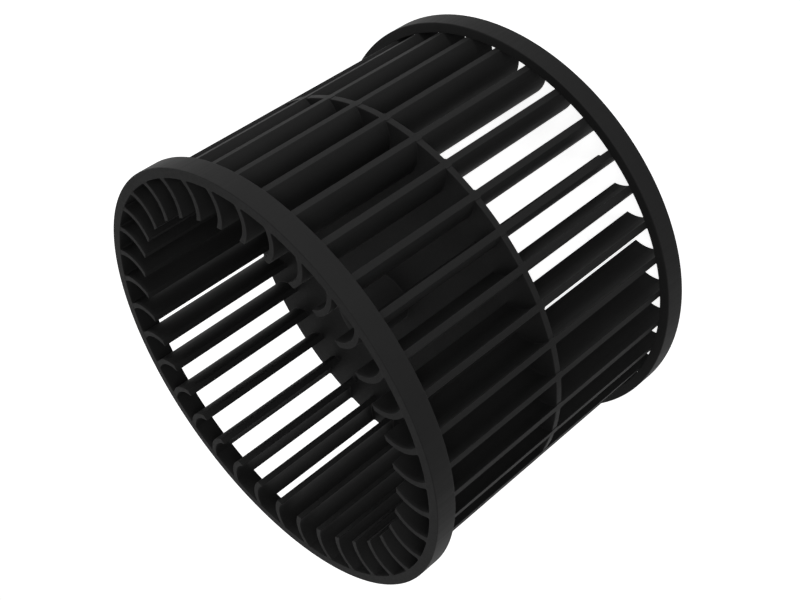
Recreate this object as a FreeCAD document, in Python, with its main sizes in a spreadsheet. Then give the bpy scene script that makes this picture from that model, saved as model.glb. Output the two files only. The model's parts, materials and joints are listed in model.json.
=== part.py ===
"""A double-inlet blower wheel, moulded in one piece.

Two end rings are joined by long curved blades. A flat disc stands across the middle of the wheel,
and a round boss on the disc takes the shaft. Lengths are in millimetres.

The wheel stands on its rear ring: the origin is at the centre of that ring's end face, +Z runs
along the shaft to the front ring, and the chord of the first blade lies along +X.
"""

import FreeCAD
import Part
import Sketcher
import math
import os

SIZES = {
    "wheel_diameter": 120.0,       # across the end rings
    "wheel_length": 90.4,          # end face to end face
    "ring_width": 5.8,             # along the shaft
    "ring_wall": 2.75,             # from the ring's outer face in to the blades
    "ring_edge_chamfer": 0.3,      # on the two outer edges of each ring
    "disc_thickness": 1.8,
    "blade_count": 36,
    "blade_depth": 10.5,           # chord of the blade's section, along the radius
    "blade_curve_radius": 9.1,     # of the section's centre line
    "blade_thickness": 1.5,
    "boss_diameter": 14.0,
    "boss_front_height": 12.0,     # above the disc's front face
    "boss_rear_height": 6.0,       # below the disc's rear face
    "boss_edge_chamfer": 0.5,      # on the outer edge of each boss end
    "bore_diameter": 8.0,
    "bore_chamfer": 0.6,           # lead-in at each end of the bore
}

# A point's place in a sketch counts as zero, and two places as one, within this distance.
SAME_PLACE = 1e-6
FULL_TURN = 360.0

document = FreeCAD.newDocument("blower_wheel")


class Length:
    """A length as a number, and as the expression that works it out from the sheet."""

    def __init__(self, value, text):
        self.value = value
        self.text = text

    def __add__(self, other):
        return Length(self.value + other.value, f"({self.text} + {other.text})")

    def __sub__(self, other):
        return Length(self.value - other.value, f"({self.text} - {other.text})")

    def __truediv__(self, number):
        return Length(self.value / number, f"({self.text} / {number})")


def leg(hypotenuse, other_leg):
    """The third side of a right-angled triangle."""
    value = math.sqrt(hypotenuse.value**2 - other_leg.value**2)
    return Length(value, f"sqrt({hypotenuse.text}^2 - {other_leg.text}^2)")


def size(name):
    """One of the sheet's driving sizes."""
    return Length(float(SIZES[name]), f"sizes.{name}")


def make_size_sheet():
    """Writes the driving sizes into the sheet, one named cell to a row."""
    sheet = document.addObject("Spreadsheet::Sheet", "sizes")
    for row, (name, value) in enumerate(SIZES.items(), start=1):
        sheet.set(f"A{row}", name.replace("_", " "))
        sheet.set(f"B{row}", str(value))
        sheet.setAlias(f"B{row}", name)
    document.recompute()


def origin_part(body, role):
    """One of a body's own planes or axes, found by its role."""
    for feature in body.Origin.OriginFeatures:
        if feature.Role == role:
            return feature
    raise ValueError(f"{body.Label} has no {role}")


def new_sketch(body, name, plane):
    """An empty sketch on one of the body's origin planes."""
    sketch = body.newObject("Sketcher::SketchObject", name)
    sketch.AttachmentSupport = [(origin_part(body, plane), "")]
    sketch.MapMode = "FlatFace"
    return sketch


def dimension(sketch, kind, where, length):
    """Adds a dimension to a sketch and binds it to the sheet."""
    index = sketch.addConstraint(Sketcher.Constraint(kind, *where, length.value))
    sketch.setExpression(f"Constraints[{index}]", length.text)


def place_point(sketch, geometry, point, across=None, up=None):
    """Dimensions a point from the sketch's origin, or lays it on an axis where the place is zero."""
    for kind, axis, place in (("DistanceX", -2, across), ("DistanceY", -1, up)):
        if place is None:
            continue
        if abs(place.value) < SAME_PLACE:
            sketch.addConstraint(Sketcher.Constraint("PointOnObject", geometry, point, axis))
        else:
            dimension(sketch, kind, (-1, 1, geometry, point), place)


def draw_square_cornered_profile(sketch, corners):
    """Draws a closed outline of level and upright lines through its corners, each a (radius, height)."""
    start, end = 1, 2
    points = [FreeCAD.Vector(radius.value, height.value, 0) for radius, height in corners]
    lines = []
    for here, there in zip(points, points[1:] + points[:1]):
        lines.append(sketch.addGeometry(Part.LineSegment(here, there)))
    for index, line in enumerate(lines):
        following = lines[(index + 1) % len(lines)]
        sketch.addConstraint(Sketcher.Constraint("Coincident", line, end, following, start))
        radius, height = corners[index]
        next_radius, next_height = corners[(index + 1) % len(corners)]
        if abs(radius.value - next_radius.value) < SAME_PLACE:
            sketch.addConstraint(Sketcher.Constraint("Vertical", line))
            place_point(sketch, line, start, across=radius)
        else:
            sketch.addConstraint(Sketcher.Constraint("Horizontal", line))
            place_point(sketch, line, start, up=height)


def revolve(body, name, profile):
    """Turns a profile once round the shaft's axis and adds it to the body."""
    feature = body.newObject("PartDesign::Revolution", name)
    feature.Profile = profile
    feature.ReferenceAxis = (origin_part(body, "Z_Axis"), [""])
    feature.Angle = FULL_TURN
    document.recompute()
    return feature


def round_edges(shape, radius, heights):
    """The names of the shape's full round edges of one radius at the given heights."""
    names = []
    for number, edge in enumerate(shape.Edges, start=1):
        if not isinstance(edge.Curve, Part.Circle) or not edge.isClosed():
            continue
        same_radius = abs(edge.Curve.Radius - radius.value) < SAME_PLACE
        if same_radius and any(abs(edge.Curve.Center.z - height.value) < SAME_PLACE for height in heights):
            names.append(f"Edge{number}")
    return names


def chamfer_edges(body, name, radius, heights, how_large):
    """Takes the sharpness off the body's round edges of one radius at the given heights."""
    base = body.Tip
    edges = round_edges(base.Shape, radius, heights)
    if len(edges) != len(heights):
        raise RuntimeError(f"{name} needs {len(heights)} edges and found {len(edges)}")
    chamfer = body.newObject("PartDesign::Chamfer", name)
    chamfer.Base = (base, edges)
    chamfer.setExpression("Size", how_large.text)
    document.recompute()


def add_disc_and_boss(body):
    """The flat disc across the middle of the wheel, and the boss through it with the shaft's bore."""
    bore_radius = size("bore_diameter") / 2
    boss_radius = size("boss_diameter") / 2
    rim_radius = size("wheel_diameter") / 2 - size("ring_wall")
    disc_bottom = (size("wheel_length") - size("disc_thickness")) / 2
    disc_top = (size("wheel_length") + size("disc_thickness")) / 2
    boss_bottom = disc_bottom - size("boss_rear_height")
    boss_top = disc_top + size("boss_front_height")
    profile = new_sketch(body, "disc_and_boss_profile", "XZ_Plane")
    draw_square_cornered_profile(
        profile,
        [
            (bore_radius, boss_bottom),
            (boss_radius, boss_bottom),
            (boss_radius, disc_bottom),
            (rim_radius, disc_bottom),
            (rim_radius, disc_top),
            (boss_radius, disc_top),
            (boss_radius, boss_top),
            (bore_radius, boss_top),
        ],
    )
    revolve(body, "disc_and_boss", profile)
    ends = (boss_bottom, boss_top)
    chamfer_edges(body, "boss_edges", boss_radius, ends, size("boss_edge_chamfer"))
    chamfer_edges(body, "bore_lead_in", bore_radius, ends, size("bore_chamfer"))


def draw_blade_section(sketch):
    """The blade's section: two faces on one centre, cut off by the circles of the blades' ends.

    The chord of the centre line lies on the sketch's X axis, and the section bulges towards -Y.
    """
    start, end, centre = 1, 2, 3
    outer_radius = size("wheel_diameter") / 2 - size("ring_wall")
    inner_radius = outer_radius - size("blade_depth")
    half_depth = size("blade_depth") / 2
    half_thickness = size("blade_thickness") / 2
    curve_radius = size("blade_curve_radius")
    convex_radius = curve_radius + half_thickness
    concave_radius = curve_radius - half_thickness
    centre_x = outer_radius - half_depth
    centre_y = leg(curve_radius, half_depth)
    wheel_centre = FreeCAD.Vector(0, 0, 0)
    curve_centre = FreeCAD.Vector(centre_x.value, centre_y.value, 0)

    def crossing(end_radius, face_radius):
        """Where a face of the blade meets the circle that ends it, near the X axis."""
        distance = curve_centre.Length
        along = (end_radius.value**2 - face_radius.value**2 + distance**2) / (2 * distance)
        aside = math.sqrt(end_radius.value**2 - along**2)
        direction = FreeCAD.Vector(curve_centre).normalize()
        sideways = FreeCAD.Vector(direction.y, -direction.x, 0)
        return direction * along + sideways * aside

    def arc(circle_centre, radius, point_a, point_b):
        """The shorter arc between two points of a circle, anticlockwise from its start."""
        from_a = math.atan2(point_a.y - circle_centre.y, point_a.x - circle_centre.x)
        from_b = math.atan2(point_b.y - circle_centre.y, point_b.x - circle_centre.x)
        first, last = sorted((from_a, from_b))
        circle = Part.Circle(circle_centre, FreeCAD.Vector(0, 0, 1), radius.value)
        return sketch.addGeometry(Part.ArcOfCircle(circle, first, last))

    outer_convex = crossing(outer_radius, convex_radius)
    outer_concave = crossing(outer_radius, concave_radius)
    inner_convex = crossing(inner_radius, convex_radius)
    inner_concave = crossing(inner_radius, concave_radius)
    convex = arc(curve_centre, convex_radius, inner_convex, outer_convex)
    outer = arc(wheel_centre, outer_radius, outer_convex, outer_concave)
    concave = arc(curve_centre, concave_radius, inner_concave, outer_concave)
    inner = arc(wheel_centre, inner_radius, inner_convex, inner_concave)
    for first, first_point, second, second_point in (
        (convex, end, outer, start),
        (outer, end, concave, end),
        (concave, start, inner, end),
        (inner, start, convex, start),
        (convex, centre, concave, centre),
        (outer, centre, inner, centre),
    ):
        sketch.addConstraint(Sketcher.Constraint("Coincident", first, first_point, second, second_point))
    sketch.addConstraint(Sketcher.Constraint("Coincident", outer, centre, -1, 1))
    place_point(sketch, convex, centre, across=centre_x, up=centre_y)
    for geometry, radius in (
        (convex, convex_radius),
        (outer, outer_radius),
        (concave, concave_radius),
        (inner, inner_radius),
    ):
        dimension(sketch, "Radius", (geometry,), radius)


def add_blades(body):
    """One blade as long as the wheel, repeated round the shaft: the disc joins each at its middle."""
    section = new_sketch(body, "blade_section", "XY_Plane")
    draw_blade_section(section)
    blade = body.newObject("PartDesign::Pad", "first_blade")
    blade.Profile = section
    blade.setExpression("Length", "sizes.wheel_length")
    document.recompute()
    blades = body.newObject("PartDesign::PolarPattern", "blades")
    blades.Originals = [blade]
    blades.Axis = (origin_part(body, "Z_Axis"), [""])
    blades.Angle = FULL_TURN
    blades.setExpression("Occurrences", "sizes.blade_count")
    body.Tip = blades
    document.recompute()


def add_end_rings(body):
    """The rings round both ends of the blades, flush with them, with their outer edges chamfered."""
    outer_radius = size("wheel_diameter") / 2
    inner_radius = outer_radius - size("ring_wall")
    floor = Length(0.0, "0")
    rear_top = size("ring_width")
    front_bottom = size("wheel_length") - size("ring_width")
    front_top = size("wheel_length")
    for name, bottom, top in (("rear_ring", floor, rear_top), ("front_ring", front_bottom, front_top)):
        profile = new_sketch(body, f"{name}_profile", "XZ_Plane")
        draw_square_cornered_profile(
            profile,
            [(inner_radius, bottom), (outer_radius, bottom), (outer_radius, top), (inner_radius, top)],
        )
        revolve(body, name, profile)
    heights = (floor, rear_top, front_bottom, front_top)
    chamfer_edges(body, "ring_edges", outer_radius, heights, size("ring_edge_chamfer"))


def check(sub_parts):
    """Stops if any object of the document has failed, or a sub-part isn't one sound solid."""
    for item in document.Objects:
        if "Invalid" in item.State or "Error" in item.State:
            raise RuntimeError(f"{item.Label} has failed: {item.State}")
    for sub_part in sub_parts:
        shape = sub_part.Shape
        if shape.isNull() or not shape.isValid() or len(shape.Solids) != 1:
            raise RuntimeError(f"{sub_part.Label} isn't one sound solid")


make_size_sheet()
wheel = document.addObject("PartDesign::Body", "blower_wheel")
wheel.Label = "blower_wheel"
wheel.Placement = FreeCAD.Placement()
add_disc_and_boss(wheel)
add_blades(wheel)
add_end_rings(wheel)
document.recompute()
check([wheel])

os.makedirs("parts", exist_ok=True)
for sub_part in (wheel,):
    sub_part.Shape.exportStep(f"parts/{sub_part.Label}.step")
    volume = sub_part.Shape.Volume
    print(f"{sub_part.Label}: {volume / 1000:.2f} cm3, {len(sub_part.Shape.Faces)} faces")
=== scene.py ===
"""Blower wheel, moulded in one piece from black plastic: two end rings, thirty-six curved blades, a disc
across the middle and a bored boss for the motor's shaft. It stands on its rear ring, shaft upright."""

import json

import bpy
import numpy as np
from mathutils import Matrix, Vector


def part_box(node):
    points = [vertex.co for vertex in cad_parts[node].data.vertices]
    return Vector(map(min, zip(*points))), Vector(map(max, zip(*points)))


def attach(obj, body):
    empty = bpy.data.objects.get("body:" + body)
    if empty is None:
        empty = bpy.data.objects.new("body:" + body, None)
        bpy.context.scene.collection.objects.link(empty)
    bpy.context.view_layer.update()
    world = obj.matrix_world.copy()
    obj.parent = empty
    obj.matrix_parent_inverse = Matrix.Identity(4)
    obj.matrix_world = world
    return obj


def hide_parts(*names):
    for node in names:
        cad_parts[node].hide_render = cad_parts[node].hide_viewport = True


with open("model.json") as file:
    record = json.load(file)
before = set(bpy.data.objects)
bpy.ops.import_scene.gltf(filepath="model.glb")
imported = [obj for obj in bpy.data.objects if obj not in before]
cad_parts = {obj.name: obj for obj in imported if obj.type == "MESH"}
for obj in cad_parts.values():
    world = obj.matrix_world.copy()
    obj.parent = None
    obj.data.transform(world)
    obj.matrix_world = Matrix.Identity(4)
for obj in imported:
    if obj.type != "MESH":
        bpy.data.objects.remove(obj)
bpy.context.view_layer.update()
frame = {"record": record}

# The end rings. Two plain bands close the wheel at its ends and tie the blades' outer edges together.
# They are moulded with the blades, with flat end faces and edges rounded by the tool's finish.
MM = 0.001
WHEEL_LOW, WHEEL_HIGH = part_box("blower_wheel")
WHEEL_RADIUS = WHEEL_HIGH.x
WHEEL_LENGTH = WHEEL_HIGH.z - WHEEL_LOW.z
RING_WALL = 2.75 * MM
RING_WIDTH = 5.8 * MM
RING_OUTER_ROUND = 0.25 * MM
RING_INNER_ROUND = 0.1 * MM
RING_INNER_RADIUS = WHEEL_RADIUS - RING_WALL
RING_TURN_STEPS = 288
EDGE_STEPS = 4


def arc_between(start, end, share):
    """Unit directions from start to end, turning evenly: sin((1 - share) a) start + sin(share a) end,
    all over sin(a), where a is the angle between the two."""
    angle = np.arccos(np.clip((start * end).sum(-1, keepdims=True), -1.0, 1.0))
    return (np.sin((1.0 - share) * angle) * start + np.sin(share * angle) * end) / np.sin(angle)


def unit(vectors):
    """Each vector divided by its own length."""
    return vectors / np.linalg.norm(vectors, axis=-1, keepdims=True)


def rounded_outline(corners, rounds):
    """Closed outline with an arc in place of each corner. The arc's centre is on the corner's bisector at
    round / sin(half the corner's angle), and the arc turns from one side's normal to the other's."""
    corners = np.array(corners)
    rounds = np.array(rounds)[:, None]
    back = unit(np.roll(corners, 1, axis=0) - corners)
    ahead = unit(np.roll(corners, -1, axis=0) - corners)
    half_sine = np.sqrt((1.0 - (back * ahead).sum(1, keepdims=True)) / 2.0)
    half_cosine = np.sqrt(1.0 - half_sine**2)
    centres = corners + unit(back + ahead) * rounds / half_sine
    reach = rounds * half_cosine / half_sine
    first = unit(corners + back * reach - centres)
    last = unit(corners + ahead * reach - centres)
    share = np.linspace(0.0, 1.0, EDGE_STEPS + 1)[None, :, None]
    turned = arc_between(first[:, None], last[:, None], share)
    return (centres[:, None] + rounds[:, None] * turned).reshape(-1, 2)


def turned_surface(profile, steps):
    """Profile (radius, height) carried round the shaft: x = radius cos a, y = radius sin a, z = height.
    Returns the points and the four-sided faces of the closed grid."""
    angle = np.linspace(0.0, 2.0 * np.pi, steps, endpoint=False)[:, None]
    radius, height = profile.T
    points = np.stack([radius * np.cos(angle), radius * np.sin(angle), height + 0.0 * angle], axis=-1)
    here = np.arange(steps * len(profile)).reshape(steps, -1)
    ahead = np.roll(here, -1, axis=0)
    faces = np.stack([here, ahead, np.roll(ahead, -1, axis=1), np.roll(here, -1, axis=1)], axis=-1)
    return points.reshape(-1, 3), faces.reshape(-1, 4)


def shells_to_object(name, shells):
    """One object from several closed shells of points and four-sided faces. Each shell's point numbers
    are counted on from the last shell's."""
    starts = np.cumsum([0] + [len(points) for points, faces in shells])
    all_points = np.concatenate([points for points, faces in shells])
    all_faces = np.concatenate([faces + start for (points, faces), start in zip(shells, starts)])
    mesh = bpy.data.meshes.new(name)
    mesh.from_pydata(all_points.tolist(), [], all_faces.tolist())
    new_object = bpy.data.objects.new(name, mesh)
    bpy.context.scene.collection.objects.link(new_object)
    return new_object


def ring_shell(bottom):
    """Closed shell of one ring whose lower end face is at height bottom."""
    corners = [
        (RING_INNER_RADIUS, bottom),
        (WHEEL_RADIUS, bottom),
        (WHEEL_RADIUS, bottom + RING_WIDTH),
        (RING_INNER_RADIUS, bottom + RING_WIDTH),
    ]
    rounds = [RING_INNER_ROUND, RING_OUTER_ROUND, RING_OUTER_ROUND, RING_INNER_ROUND]
    return turned_surface(rounded_outline(corners, rounds), RING_TURN_STEPS)


rings = shells_to_object("rings", [ring_shell(0.0), ring_shell(WHEEL_LENGTH - RING_WIDTH)])

# The middle disc and its boss. The disc carries all the blades from the shaft, and the boss at its centre
# is bored for the shaft, with a rounded foot where it leaves the disc and a lead-in at each bore mouth.
DISC_THICKNESS = 1.8 * MM
DISC_RIM_STEP = 0.15 * MM
DISC_RIM_ROUND = 0.2 * MM
DISC_TURN_STEPS = 216
BOSS_RADIUS = 7.0 * MM
BOSS_EDGE_ROUND = 0.5 * MM
BOSS_FOOT_ROUND = 0.3 * MM
BORE_LEAD_IN = 0.6 * MM
BORE_EDGE_ROUND = 0.1 * MM
DISC_LOW = WHEEL_LENGTH / 2.0 - DISC_THICKNESS / 2.0
DISC_HIGH = DISC_LOW + DISC_THICKNESS
DISC_RADIUS = RING_INNER_RADIUS - DISC_RIM_STEP
BORE = next(mount for mount in frame["record"]["mounts"] if mount["name"] == "shaft_bore")
BORE_RADIUS = BORE["dims"]["r_mm"] * MM
# The record's bore length is the straight part, so the boss reaches one lead-in past it at each end.
BOSS_HALF_HEIGHT = BORE["dims"]["length_mm"] * MM / 2.0 + BORE_LEAD_IN
BOSS_LOW = BORE["pos_m"][2] - BOSS_HALF_HEIGHT
BOSS_HIGH = BORE["pos_m"][2] + BOSS_HALF_HEIGHT


def disc_shell():
    """Closed shell of the disc, the boss and its bore, as one turned profile."""
    corners_and_rounds = [
        ((BORE_RADIUS + BORE_LEAD_IN, BOSS_LOW), BORE_EDGE_ROUND),
        ((BOSS_RADIUS, BOSS_LOW), BOSS_EDGE_ROUND),
        ((BOSS_RADIUS, DISC_LOW), BOSS_FOOT_ROUND),
        ((DISC_RADIUS, DISC_LOW), DISC_RIM_ROUND),
        ((DISC_RADIUS, DISC_HIGH), DISC_RIM_ROUND),
        ((BOSS_RADIUS, DISC_HIGH), BOSS_FOOT_ROUND),
        ((BOSS_RADIUS, BOSS_HIGH), BOSS_EDGE_ROUND),
        ((BORE_RADIUS + BORE_LEAD_IN, BOSS_HIGH), BORE_EDGE_ROUND),
        ((BORE_RADIUS, BOSS_HIGH - BORE_LEAD_IN), BORE_EDGE_ROUND),
        ((BORE_RADIUS, BOSS_LOW + BORE_LEAD_IN), BORE_EDGE_ROUND),
    ]
    corners, rounds = zip(*corners_and_rounds)
    return turned_surface(rounded_outline(corners, rounds), DISC_TURN_STEPS)


disc = shells_to_object("disc", [disc_shell()])

# The blades. Each is a thin wall curved to one radius, run the full length of the wheel through the disc.
# Its long edges are rounded, small fillets join it to the disc, and inside each ring a flared foot joins
# it to the band.
BLADE_COUNT = 36
BLADE_DEPTH = 10.5 * MM
BLADE_CURVE_RADIUS = 9.1 * MM
BLADE_THICKNESS = 1.5 * MM
BLADE_EDGE_ROUND = 0.1 * MM
BLADE_END_ROUND = 0.07 * MM
BLADE_END_STEP = 0.04 * MM
DISC_FILLET = 0.25 * MM
FOOT_FILLET = 0.4 * MM
FOOT_DEPTH_IN_RING = 1.3 * MM
FOOT_SHORT_OF_RING = 0.3 * MM
FOOT_FADE = 0.22 * MM
FLANK_STEPS = 14
LEVEL_STEPS = 4
BLADE_OUTER_RADIUS = RING_INNER_RADIUS
BLADE_INNER_RADIUS = BLADE_OUTER_RADIUS - BLADE_DEPTH
# The blade's chord lies along +X, so the curve's centre is beside the chord's middle.
CHORD_MIDDLE = (BLADE_OUTER_RADIUS + BLADE_INNER_RADIUS) / 2.0
CENTRE_OFF_CHORD = np.sqrt(BLADE_CURVE_RADIUS**2 - (BLADE_DEPTH / 2.0) ** 2)
CURVE_CENTRE = np.array([CHORD_MIDDLE, CENTRE_OFF_CHORD])


def crossing(shaft_distance, curve_distance):
    """Point of the blade at a distance from the shaft and a distance from the curve's centre, by the
    cosine rule in the triangle of the two centres and the point."""
    between = np.hypot(*CURVE_CENTRE)
    cosine = (shaft_distance**2 + between**2 - curve_distance**2) / (2.0 * shaft_distance * between)
    angle = np.arctan2(CURVE_CENTRE[1], CURVE_CENTRE[0]) - np.arccos(cosine)
    return np.stack([shaft_distance * np.cos(angle), shaft_distance * np.sin(angle)], axis=-1)


def corner_arc(end_radius, flank_radius, end_sign, flank_sign, corner_round, share):
    """Arc tangent to the end's cylinder and to the flank's. Its centre is one round from each, on the
    side that the signs give, and the arc turns from the end's normal to the flank's."""
    centre = crossing(end_radius - end_sign * corner_round, flank_radius - flank_sign * corner_round)
    end_normal = end_sign * unit(centre)
    flank_normal = flank_sign * unit(centre - CURVE_CENTRE)
    return centre + corner_round[..., None] * arc_between(end_normal, flank_normal, share[..., None])


def flank_points(start, end, radius):
    """Points strictly between start and end, on the circle of that radius round the curve's centre."""
    share = np.linspace(0.0, 1.0, FLANK_STEPS + 1)[None, 1:-1, None]
    turned = arc_between(unit(start - CURVE_CENTRE), unit(end - CURVE_CENTRE), share)
    return CURVE_CENTRE + radius[..., None] * turned


def blade_side(side, swell, in_ring):
    """One side of the blade's section at every level, from its outer corner to its inner corner. side is
    +1 for the hump and -1 for the hollow. swell is how far the wall stands proud of its plain thickness,
    and in_ring is true where the outer edge runs on into the ring as a flared foot."""
    share = np.linspace(0.0, 1.0, EDGE_STEPS + 1)[None, :]
    flank = BLADE_CURVE_RADIUS + side * (BLADE_THICKNESS / 2.0 + swell)
    trim = np.minimum(swell, 0.0)
    free_corner = corner_arc(BLADE_OUTER_RADIUS + trim, flank, 1.0, side, BLADE_EDGE_ROUND + trim, share)
    foot_share = np.linspace(0.0, 1.0, EDGE_STEPS)[None, :]
    flare = corner_arc(BLADE_OUTER_RADIUS - trim, flank, 1.0, -side, FOOT_FILLET - trim, foot_share)
    root = unit(flare[:, :1]) * (BLADE_OUTER_RADIUS + FOOT_DEPTH_IN_RING)
    foot_corner = np.concatenate([root, flare], axis=1)
    outer_corner = np.where(in_ring[..., None], foot_corner, free_corner)
    inner_round = BLADE_EDGE_ROUND + swell
    inner_corner = corner_arc(BLADE_INNER_RADIUS - swell, flank, -1.0, side, inner_round, share)
    middle = flank_points(outer_corner[:, -1:], inner_corner[:, -1:], flank)
    return np.concatenate([outer_corner, middle, inner_corner[:, ::-1]], axis=1)


def blade_levels():
    """Height, swell and whether the level is in the ring, for every level of a blade from end to end: the
    rounded end, the foot, the fade out of the foot and the quarter-circle fillet against the disc, then
    the same back."""
    turn = np.linspace(0.0, np.pi / 2.0, LEVEL_STEPS + 1)
    end_height = BLADE_END_STEP + BLADE_END_ROUND * (1.0 - np.cos(turn))
    end_swell = -BLADE_END_ROUND * (1.0 - np.sin(turn))
    foot_top = RING_WIDTH - FOOT_SHORT_OF_RING
    foot_height = [foot_top, foot_top + FOOT_FADE]
    fillet_height = DISC_LOW - DISC_FILLET * (1.0 - np.sin(turn))
    fillet_swell = DISC_FILLET * (1.0 - np.cos(turn))
    height = np.concatenate([end_height, foot_height, fillet_height, [WHEEL_LENGTH / 2.0]])
    swell = np.concatenate([end_swell, [0.0, 0.0], fillet_swell, fillet_swell[-1:]])
    in_ring = height <= foot_top
    height = np.concatenate([height, WHEEL_LENGTH - height[-2::-1]])
    return height, np.append(swell, swell[-2::-1]), np.append(in_ring, in_ring[-2::-1])


def blade_shell(angle):
    """Closed shell of one blade, turned about the shaft by angle: the section's two sides carried through
    the levels, and an end face of strips from side to side at each end."""
    height, swell, in_ring = blade_levels()
    hump = blade_side(1.0, swell[:, None], in_ring[:, None])
    hollow = blade_side(-1.0, swell[:, None], in_ring[:, None])
    section = np.concatenate([hump, hollow[:, ::-1]], axis=1)
    x, y = section[..., 0], section[..., 1]
    z = height[:, None] + 0.0 * x
    turned_x = x * np.cos(angle) - y * np.sin(angle)
    turned_y = x * np.sin(angle) + y * np.cos(angle)
    turned = np.stack([turned_x, turned_y, z], axis=-1)
    here = np.arange(z.size).reshape(z.shape)
    beside = np.roll(here, -1, axis=1)
    walls = np.stack([here[:-1], here[1:], beside[1:], beside[:-1]], axis=-1).reshape(-1, 4)
    along = here[0, : hump.shape[1]]
    across = here[0, : hump.shape[1] - 1 : -1]
    low_end = np.stack([along[:-1], along[1:], across[1:], across[:-1]], axis=-1)
    high_end = low_end[:, ::-1] + here[-1, 0]
    return turned.reshape(-1, 3), np.concatenate([walls, low_end, high_end])


blade_angles = np.linspace(0.0, 2.0 * np.pi, BLADE_COUNT, endpoint=False)
blades = shells_to_object("blades", [blade_shell(angle) for angle in blade_angles])

# The moulding. The plastic fills rings, disc and blades in one shot, so the shells become a single closed
# skin with no walls inside it. It is a plain black plastic with a fine satin grain, a little uneven as
# moulded plastic is, and faint marks along the shaft from where the tool's cores slide out of the blades.
SHARP_ANGLE = np.radians(38.0)
PLASTIC_DARK = (0.0102, 0.0102, 0.0102, 1.0)
PLASTIC_LIGHT = (0.0148, 0.0148, 0.0148, 1.0)
PLASTIC_SPECULAR = 0.05
ROUGHNESS_LOW = 0.52
ROUGHNESS_HIGH = 0.68
MARKS_IN_ROUGHNESS = 0.5
# The noises' values lie mostly between these two, and the roughness is spread over that stretch.
NOISE_LOW = 0.3
NOISE_HIGH = 0.7
CLOUD_SIZE = 17.0 * MM
CLOUD_DETAIL = 3.0
WAVE_SIZE = 5.0 * MM
WAVE_DETAIL = 1.0
WAVE_DEPTH = 0.03 * MM
GRAIN_SIZE = 0.3 * MM
GRAIN_DETAIL = 2.0
GRAIN_DEPTH = 0.006 * MM
MARK_SIZE = 0.7 * MM
MARK_DETAIL = 2.0
MARK_STRETCH = 30.0
MARK_DEPTH = 0.002 * MM


def joined(name, base, added):
    """The solid union of base with each added object, as one new object. Its sources are removed."""
    for extra in added:
        union = base.modifiers.new("union", "BOOLEAN")
        union.operation = "UNION"
        union.solver = "MANIFOLD"
        union.object = extra
    mesh = bpy.data.meshes.new_from_object(base.evaluated_get(bpy.context.evaluated_depsgraph_get()))
    mesh.name = name
    for used in [base, *added]:
        bpy.data.objects.remove(used, do_unlink=True)
    whole = bpy.data.objects.new(name, mesh)
    bpy.context.scene.collection.objects.link(whole)
    return whole


def noise(tree, place, size, detail):
    """Soft noise between 0 and 1 whose spots are about that size, read at place."""
    texture = tree.nodes.new("ShaderNodeTexNoise")
    texture.inputs["Scale"].default_value = 1.0 / size
    texture.inputs["Detail"].default_value = detail
    tree.links.new(place, texture.inputs["Vector"])
    return texture.outputs["Fac"]


def raised(tree, height, depth, under):
    """A surface direction tilted by a height of that depth, on top of the direction under it."""
    bump = tree.nodes.new("ShaderNodeBump")
    bump.inputs["Distance"].default_value = depth
    tree.links.new(height, bump.inputs["Height"])
    if under is not None:
        tree.links.new(under, bump.inputs["Normal"])
    return bump.outputs["Normal"]


def black_plastic():
    """Near-black satin plastic: clouds in tone and gloss, slow waves, marks drawn out along Z and a fine
    grain."""
    material = bpy.data.materials.new("satin_black_plastic")
    material.use_nodes = True
    tree = material.node_tree
    shader = tree.nodes["Principled BSDF"]
    shader.inputs["Specular IOR Level"].default_value = PLASTIC_SPECULAR
    place = tree.nodes.new("ShaderNodeTexCoord").outputs["Object"]
    drawn_out = tree.nodes.new("ShaderNodeMapping")
    drawn_out.inputs["Scale"].default_value = (1.0, 1.0, 1.0 / MARK_STRETCH)
    tree.links.new(place, drawn_out.inputs["Vector"])
    clouds = noise(tree, place, CLOUD_SIZE, CLOUD_DETAIL)
    waves = noise(tree, place, WAVE_SIZE, WAVE_DETAIL)
    grain = noise(tree, place, GRAIN_SIZE, GRAIN_DETAIL)
    marks = noise(tree, drawn_out.outputs["Vector"], MARK_SIZE, MARK_DETAIL)

    tone = tree.nodes.new("ShaderNodeMix")
    tone.data_type = "RGBA"
    tone.inputs["A"].default_value = PLASTIC_DARK
    tone.inputs["B"].default_value = PLASTIC_LIGHT
    tree.links.new(clouds, tone.inputs["Factor"])
    tree.links.new(tone.outputs["Result"], shader.inputs["Base Color"])

    dullness = tree.nodes.new("ShaderNodeMix")
    dullness.data_type = "FLOAT"
    dullness.inputs["Factor"].default_value = MARKS_IN_ROUGHNESS
    tree.links.new(clouds, dullness.inputs["A"])
    tree.links.new(marks, dullness.inputs["B"])
    roughness = tree.nodes.new("ShaderNodeMapRange")
    roughness.inputs["From Min"].default_value = NOISE_LOW
    roughness.inputs["From Max"].default_value = NOISE_HIGH
    roughness.inputs["To Min"].default_value = ROUGHNESS_LOW
    roughness.inputs["To Max"].default_value = ROUGHNESS_HIGH
    tree.links.new(dullness.outputs["Result"], roughness.inputs["Value"])
    tree.links.new(roughness.outputs["Result"], shader.inputs["Roughness"])

    surface = raised(tree, waves, WAVE_DEPTH, None)
    surface = raised(tree, marks, MARK_DEPTH, surface)
    surface = raised(tree, grain, GRAIN_DEPTH, surface)
    tree.links.new(surface, shader.inputs["Normal"])
    return material


moulding = joined("wheel_moulding", blades, [rings, disc])
moulding.data.shade_smooth()
moulding.data.set_sharp_from_angle(angle=SHARP_ANGLE)
even_shading = moulding.modifiers.new("even_shading", "WEIGHTED_NORMAL")
even_shading.keep_sharp = True
moulding.data.materials.clear()
moulding.data.materials.append(black_plastic())
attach(moulding, "root")
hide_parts("blower_wheel")

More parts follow.
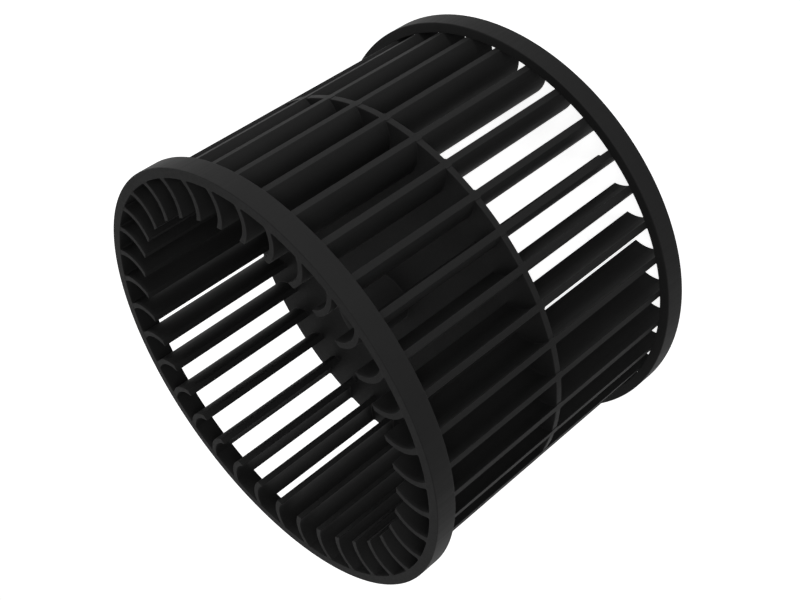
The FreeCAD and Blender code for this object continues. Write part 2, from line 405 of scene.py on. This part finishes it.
# The floor. A plain pale sheet under the wheel that runs on into a white background. What the camera or
# a reflection sees of it glows, so that it comes out white, and the rest is lit by the lamps and keeps
# the shadow.
FLOOR_HALF_WIDTH = 4.0
FLOOR_TONE = (0.8, 0.8, 0.8, 1.0)
FLOOR_GLOW = 0.88
SKY_LIGHT = 0.15


def seen_directly(tree):
    """1 where a ray comes from the camera, a reflection or a clear material, 0 where it only carries
    light."""
    path = tree.nodes.new("ShaderNodeLightPath")
    either = tree.nodes.new("ShaderNodeMath")
    either.operation = "MAXIMUM"
    tree.links.new(path.outputs["Is Camera Ray"], either.inputs[0])
    tree.links.new(path.outputs["Is Glossy Ray"], either.inputs[1])
    any_of_three = tree.nodes.new("ShaderNodeMath")
    any_of_three.operation = "MAXIMUM"
    tree.links.new(either.outputs["Value"], any_of_three.inputs[0])
    tree.links.new(path.outputs["Is Transmission Ray"], any_of_three.inputs[1])
    return any_of_three.outputs["Value"]


def pale_floor():
    """Matt pale grey, plus a glow that only the camera, reflections and clear materials see."""
    material = bpy.data.materials.new("pale_floor")
    material.use_nodes = True
    tree = material.node_tree
    shader = tree.nodes["Principled BSDF"]
    shader.inputs["Base Color"].default_value = FLOOR_TONE
    shader.inputs["Roughness"].default_value = 1.0
    shader.inputs["Specular IOR Level"].default_value = 0.0
    shader.inputs["Emission Color"].default_value = (1.0, 1.0, 1.0, 1.0)
    glow = tree.nodes.new("ShaderNodeMath")
    glow.operation = "MULTIPLY"
    glow.inputs[1].default_value = FLOOR_GLOW
    tree.links.new(seen_directly(tree), glow.inputs[0])
    tree.links.new(glow.outputs["Value"], shader.inputs["Emission Strength"])
    return material


floor_square = [(-1.0, -1.0), (1.0, -1.0), (1.0, 1.0), (-1.0, 1.0)]
floor_corners = [(x * FLOOR_HALF_WIDTH, y * FLOOR_HALF_WIDTH, 0.0) for x, y in floor_square]
floor_mesh = bpy.data.meshes.new("floor")
floor_mesh.from_pydata(floor_corners, [], [(0, 1, 2, 3)])
floor_mesh.materials.append(pale_floor())
floor = bpy.data.objects.new("floor", floor_mesh)
bpy.context.scene.collection.objects.link(floor)

world = bpy.data.worlds.new("white_room")
bpy.context.scene.world = world
world.use_nodes = True
room = world.node_tree
room_light = room.nodes["Background"]
room_light.inputs["Color"].default_value = (1.0, 1.0, 1.0, 1.0)
room_strength = room.nodes.new("ShaderNodeMapRange")
room_strength.inputs["To Min"].default_value = SKY_LIGHT
room_strength.inputs["To Max"].default_value = 1.0
room.links.new(seen_directly(room), room_strength.inputs["Value"])
room.links.new(room_strength.outputs["Result"], room_light.inputs["Strength"])

# The lamps. A main softbox stands beside the camera, and a wide low one lights the picture's upper left.
# Weaker low ones light its lower right and the far side, so that the rings and the blades' edges catch a
# soft light and the inside stays dark.
LAMPS_AIM = Vector((0.0, 0.0, WHEEL_LENGTH / 2.0))


def softbox(name, azimuth, elevation, distance, width, height, power):
    """A rectangular lamp on a sphere round the wheel's middle: azimuth counts from +X towards +Y."""
    turn = np.radians(azimuth)
    lift = np.radians(elevation)
    away = Vector((np.cos(turn) * np.cos(lift), np.sin(turn) * np.cos(lift), np.sin(lift)))
    light = bpy.data.lights.new(name, "AREA")
    light.shape = "RECTANGLE"
    light.size = width
    light.size_y = height
    light.energy = power
    lamp = bpy.data.objects.new(name, light)
    lamp.location = LAMPS_AIM + away * distance
    lamp.rotation_mode = "QUATERNION"
    lamp.rotation_quaternion = away.to_track_quat("Z", "Y")
    lamp.visible_camera = False
    bpy.context.scene.collection.objects.link(lamp)


softbox("main_softbox", azimuth=13.0, elevation=30.0, distance=0.7, width=0.5, height=0.35, power=2.05)
softbox("left_softbox", azimuth=70.0, elevation=5.5, distance=0.7, width=0.55, height=0.13, power=2.8)
softbox("right_softbox", azimuth=266.0, elevation=11.0, distance=0.7, width=0.4, height=0.25, power=0.85)
softbox("back_softbox", azimuth=152.0, elevation=11.0, distance=0.7, width=0.4, height=0.25, power=0.95)

# The camera. It looks down on the wheel from beside the main softbox, turned on its own axis until the
# front ring comes to the lower left of the picture.
CAMERA_PLACE = Vector((271.25, 110.65, 213.76)) * MM
VIEW_AZIMUTH = np.radians(-157.354)
VIEW_ELEVATION = np.radians(-30.064)
VIEW_ROLL = np.radians(-125.3)
LENS_LENGTH = 57.383
forward = Vector((np.cos(VIEW_AZIMUTH), np.sin(VIEW_AZIMUTH), np.tan(VIEW_ELEVATION))).normalized()
level_right = forward.cross(Vector((0.0, 0.0, 1.0))).normalized()
level_up = level_right.cross(forward)
right = level_right * np.cos(VIEW_ROLL) + level_up * np.sin(VIEW_ROLL)
up = level_up * np.cos(VIEW_ROLL) - level_right * np.sin(VIEW_ROLL)
turned_view = Matrix((right, up, -forward)).transposed().to_4x4()
camera_data = bpy.data.cameras.new("camera")
camera_data.lens = LENS_LENGTH
camera = bpy.data.objects.new("camera", camera_data)
camera.matrix_world = Matrix.Translation(CAMERA_PLACE) @ turned_view
bpy.context.scene.collection.objects.link(camera)
bpy.context.scene.camera = camera
bpy.context.scene.view_settings.view_transform = "Standard"
